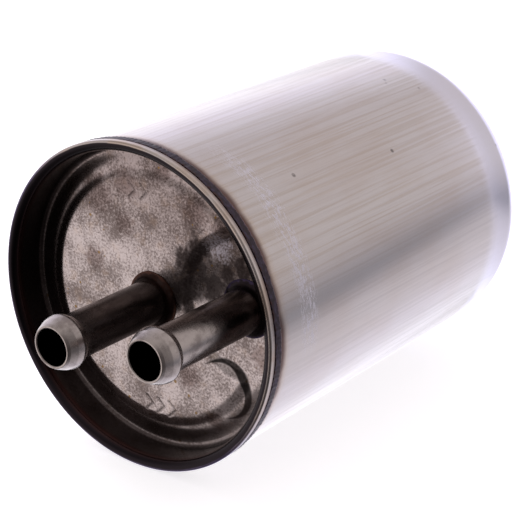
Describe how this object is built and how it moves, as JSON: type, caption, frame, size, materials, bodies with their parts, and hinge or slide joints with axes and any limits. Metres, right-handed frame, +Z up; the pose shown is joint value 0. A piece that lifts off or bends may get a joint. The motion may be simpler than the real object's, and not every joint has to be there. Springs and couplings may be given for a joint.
{
  "type": "fuel filter",
  "caption": "Small in-line fuel filter: round stainless can with a rounded closed end, and two barbed hose nipples on a recessed end plate.",
  "frame": {"origin": "centre of the closed end's flat face, on the can's axis", "axes": "+Y from the hose nipples to the closed end, +Z up as the can lies on its side, +X towards the off-centre nipple"},
  "size_m": [0.0618, 0.1093, 0.0618],
  "materials": {
    "drawn_stainless": "drawn and brushed along the axis",
    "pressed_plate": "mottled press finish with small rust spots",
    "heat_tinted_weld": "dark heat tint",
    "nipple_steel": "satin",
    "braze": "dull, heat tinted",
    "seal_rubber": "matte",
    "cap_steel": "zinc-plated sheet",
    "potting_resin": "cast resin",
    "filter_paper": "resin-treated paper",
    "spring_steel": "drawn wire"
  },
  "bodies": {
    "housing": {"canister": "drawn_stainless", "end_plate": "pressed_plate", "rim_weld": "heat_tinted_weld", "outlet_tube": "nipple_steel", "inlet_tube": "nipple_steel", "outlet_braze_ring": "braze", "inlet_braze_ring": "braze", "preload_spring": "spring_steel"},
    "element": {"outlet_grommet": "seal_rubber", "upper_end_cap": "cap_steel", "upper_potting": "potting_resin", "pleated_media": "filter_paper", "seam_clip": "cap_steel", "core_tube": "cap_steel", "lower_potting": "potting_resin", "lower_end_cap": "cap_steel", "spring_seat": "cap_steel"}
  },
  "joints": [
    {"name": "element_float", "type": "slide", "parent": "housing", "child": "element", "axis": [0, 1, 0], "range_m": [0, 0.002], "stiffness_N_per_m": 900, "springref_m": -0.013, "deforming": ["preload_spring"]}
  ]
}
